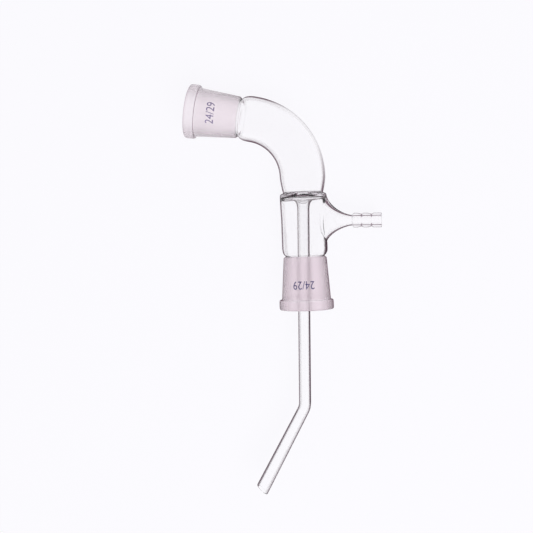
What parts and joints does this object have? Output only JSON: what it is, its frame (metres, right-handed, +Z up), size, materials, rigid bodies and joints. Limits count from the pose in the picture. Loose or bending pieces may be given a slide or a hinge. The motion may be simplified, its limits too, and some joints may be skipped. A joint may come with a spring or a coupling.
{
  "type": "vacuum take-off adapter",
  "caption": "Bent glass distillation adapter with ground sockets at inlet and outlet, a ring-sealed inner drip tube with a bent tip, and a ridged side arm for a vacuum hose.",
  "frame": {"origin": "centre of the bottom of the bounding box, on the bench that the adapter lies on", "axes": "+Z up from the bench, +Y along the body away from the drip tube's tip, +X towards the hose nozzle; the body's axis tips 1.8 degrees from the bench because the adapter rests on both collars and the bend"},
  "size_m": [0.1114, 0.2376, 0.0313],
  "materials": {
    "glass": "clear borosilicate glass, fire-polished, with both sockets fine-ground to a translucent pale grey"
  },
  "bodies": {
    "root": {"adapter": "glass"}
  },
  "joints": []
}
